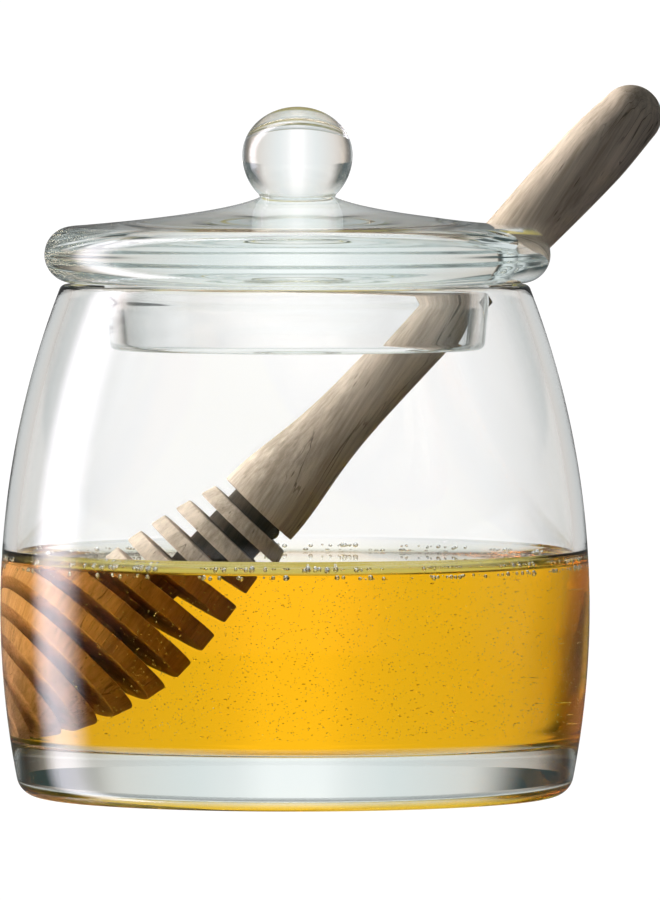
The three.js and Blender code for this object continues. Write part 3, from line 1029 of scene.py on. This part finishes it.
def mirrored_streak(tree, parts, mirror):
    """The tall soft light, for mirrored rays only."""
    aside = add(tree, "ShaderNodeMath", {0: turn_of(tree, parts), 1: math.radians(STREAK_TURN)},
                operation="SUBTRACT")
    off = add(tree, "ShaderNodeMath", {0: aside}, operation="ABSOLUTE")
    strip = add(tree, "ShaderNodeMapRange", {"Value": off, "From Min": math.radians(STREAK_EDGES[0]),
                                             "From Max": math.radians(STREAK_EDGES[1]), "To Max": STREAK_LEVEL},
                **SMOOTH)
    level = add(tree, "ShaderNodeMath", {0: strip, 1: mirror}, operation="MULTIPLY")
    return add(tree, "ShaderNodeVectorMath", {0: linear(STREAK)[:3], "Scale": level}, operation="SCALE")


def studio_world():
    world = bpy.data.worlds.new("studio")
    bpy.context.scene.world = world
    world.use_nodes = True
    tree = world.node_tree
    tree.nodes.clear()
    path = add(tree, "ShaderNodeLightPath")
    way = add(tree, "ShaderNodeTexCoord")
    parts = add(tree, "ShaderNodeSeparateXYZ", {"Vector": way.outputs["Generated"]})
    mirror = add(tree, "ShaderNodeMath", {0: path.outputs["Is Reflection Ray"],
                                          1: path.outputs["Is Diffuse Ray"]},
                 operation="SUBTRACT", use_clamp=True)
    dim = add(tree, "ShaderNodeMapRange", {"Value": mirror, "To Min": AMBIENT, "To Max": MIRRORED_ROOM})
    level = add(tree, "ShaderNodeMapRange", {"Value": seen_through(tree, path), "To Min": dim})
    room = add(tree, "ShaderNodeVectorMath", {0: room_colour(tree, parts), "Scale": level}, operation="SCALE")
    light = add(tree, "ShaderNodeVectorMath", {0: room, 1: mirrored_streak(tree, parts, mirror)},
                operation="ADD")
    glow = add(tree, "ShaderNodeBackground", {"Color": light})
    plain = add(tree, "ShaderNodeBackground", {"Color": linear("#FFFFFF"), "Strength": WHITE_LEVEL})
    both = add(tree, "ShaderNodeMixShader", {0: path.outputs["Is Camera Ray"], 1: glow, 2: plain})
    add(tree, "ShaderNodeOutputWorld", {"Surface": both})


studio_world()
print("world: streak at", STREAK_TURN, "degrees; the wood gets", AMBIENT, "of the walls' light")

# %% [markdown]
# ## Softbox
# The wood is lit by a tall softbox at the left, with faded edges. In Cycles a lamp's direct light stops at
# clear glass, and wood behind it is lit only by rays that find the lamp by chance. So the softbox is two
# lamps in nearly one place: one for open wood, and a stronger one for wood behind glass. The second one
# lights only what the wood sends on, so that it is never seen as a white blob in the honey.

# %% Softbox
BOX_DISTANCE, BOX_WIDTH, BOX_HEIGHT, BOX_RISE, BOX_AIM = 1.0, 0.46, 0.85, 0.42, 0.6
BOX_COLOUR, BOX_FADE = "#FFFDF9", 0.3
OPEN_TURN, OPEN_LEVEL = -70, 38.0
BEHIND_TURN, BEHIND_LEVEL = -62, 430.0


def softbox(name, turn, level, behind_glass):
    lamp = bpy.data.lights.new(name, "AREA")
    lamp.shape, lamp.size, lamp.size_y = "RECTANGLE", BOX_WIDTH, BOX_HEIGHT
    lamp.energy = level * math.pi * BOX_WIDTH * BOX_HEIGHT
    lamp.color = linear(BOX_COLOUR)[:3]
    lamp.use_nodes = True
    tree = lamp.node_tree
    tree.nodes.clear()
    place = add(tree, "ShaderNodeNewGeometry")
    across = add(tree, "ShaderNodeSeparateXYZ", {"Vector": place.outputs["Parametric"]})
    edge = add(tree, "ShaderNodeMath", {0: across.outputs["X"], 1: 0.5}, operation="PINGPONG")
    strength = add(tree, "ShaderNodeMapRange", {"Value": edge, "From Max": BOX_FADE}, **SMOOTH)
    if behind_glass:
        path = add(tree, "ShaderNodeLightPath")
        after = add(tree, "ShaderNodeMath", {0: path.outputs["Diffuse Depth"], 1: FIRST_BOUNCE},
                    operation="GREATER_THAN")
        strength = add(tree, "ShaderNodeMath", {0: strength, 1: after}, operation="MULTIPLY")
    glow = add(tree, "ShaderNodeEmission", {"Strength": strength})
    add(tree, "ShaderNodeOutputLight", {"Surface": glow})
    box = bpy.data.objects.new(name, lamp)
    bpy.context.scene.collection.objects.link(box)
    angle = math.radians(turn)
    box.location = (BOX_DISTANCE * math.sin(angle), BOX_DISTANCE * math.cos(angle), BOX_RISE)
    aim = Vector((0, 0, BOX_RISE * BOX_AIM)) - box.location
    box.rotation_euler = aim.to_track_quat("-Z", "Y").to_euler()
    box.visible_camera = box.visible_glossy = False
    box.visible_transmission = behind_glass
    box.visible_diffuse = not behind_glass
    print(name, "at", turn, "degrees")


softbox("softbox for open wood", OPEN_TURN, OPEN_LEVEL, behind_glass=False)
softbox("softbox for wood behind glass", BEHIND_TURN, BEHIND_LEVEL, behind_glass=True)

# %% [markdown]
# ## Last settings
# Thick glass passes light on many times before it leaves, and a ray that is cut short is black, so more
# bounces are allowed than usual. The Standard view keeps the white background white.

BOUNCES = 24

bpy.context.scene.view_settings.view_transform = "Standard"
for kind in ("max_bounces", "transmission_bounces", "glossy_bounces"):
    setattr(bpy.context.scene.cycles, kind, BOUNCES)
